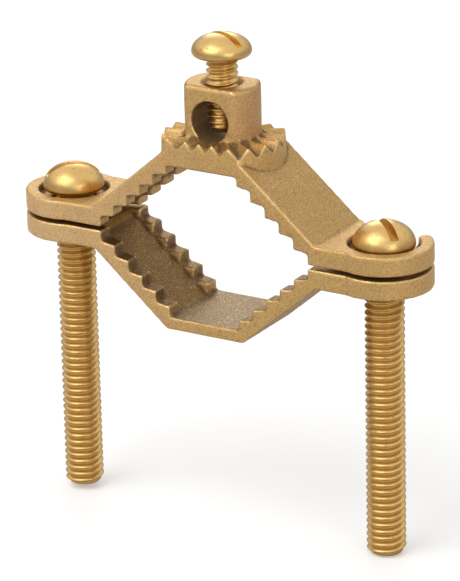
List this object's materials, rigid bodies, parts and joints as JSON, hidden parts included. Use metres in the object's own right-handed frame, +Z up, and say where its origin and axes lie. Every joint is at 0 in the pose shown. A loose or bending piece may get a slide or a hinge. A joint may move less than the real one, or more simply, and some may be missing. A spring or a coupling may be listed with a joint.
{
  "type": "earth rod clamp",
  "caption": "Cast bronze earth clamp: toothed V jaws on long slotted screws, a hooked ear, and a serrated crown with a wire post and terminal screw.",
  "frame": {"origin": "centre of the gripping opening between the jaws, on their parting plane", "axes": "+X through the clamp screws towards the hooked ear, +Y along the gripped rod, +Z up towards the wire post"},
  "size_m": [0.0904, 0.0194, 0.1001],
  "materials": {
    "cast_bronze": "as cast, tumbled",
    "screw_brass": "bright machined"
  },
  "bodies": {
    "base": {"lower_jaw": "cast_bronze"},
    "jaw": {"upper_jaw": "cast_bronze"},
    "screw_left": {"clamp_screw_left": "screw_brass"},
    "screw_right": {"clamp_screw_right": "screw_brass"},
    "terminal": {"wire_screw": "screw_brass"}
  },
  "joints": [
    {"name": "jaw_open", "type": "slide", "parent": "base", "child": "jaw", "axis": [0, 0, 1], "range_m": [0, 0.05]},
    {"name": "left_screw_turn", "type": "hinge", "parent": "jaw", "child": "screw_left", "pos_m": [-0.0355, 0, 0], "axis": [0, 0, 1], "continuous": true},
    {"name": "right_screw_turn", "type": "hinge", "parent": "jaw", "child": "screw_right", "pos_m": [0.0355, 0, 0], "axis": [0, 0, 1], "continuous": true},
    {"name": "wire_screw_travel", "type": "slide", "parent": "jaw", "child": "terminal", "axis": [0, 0, 1], "range_m": [-0.0006, 0.0075]}
  ],
  "couplings": [
    {"joint": "left_screw_turn", "follows": "jaw_open", "rad_per_m": 4452.6},
    {"joint": "right_screw_turn", "follows": "jaw_open", "rad_per_m": 4452.6}
  ]
}
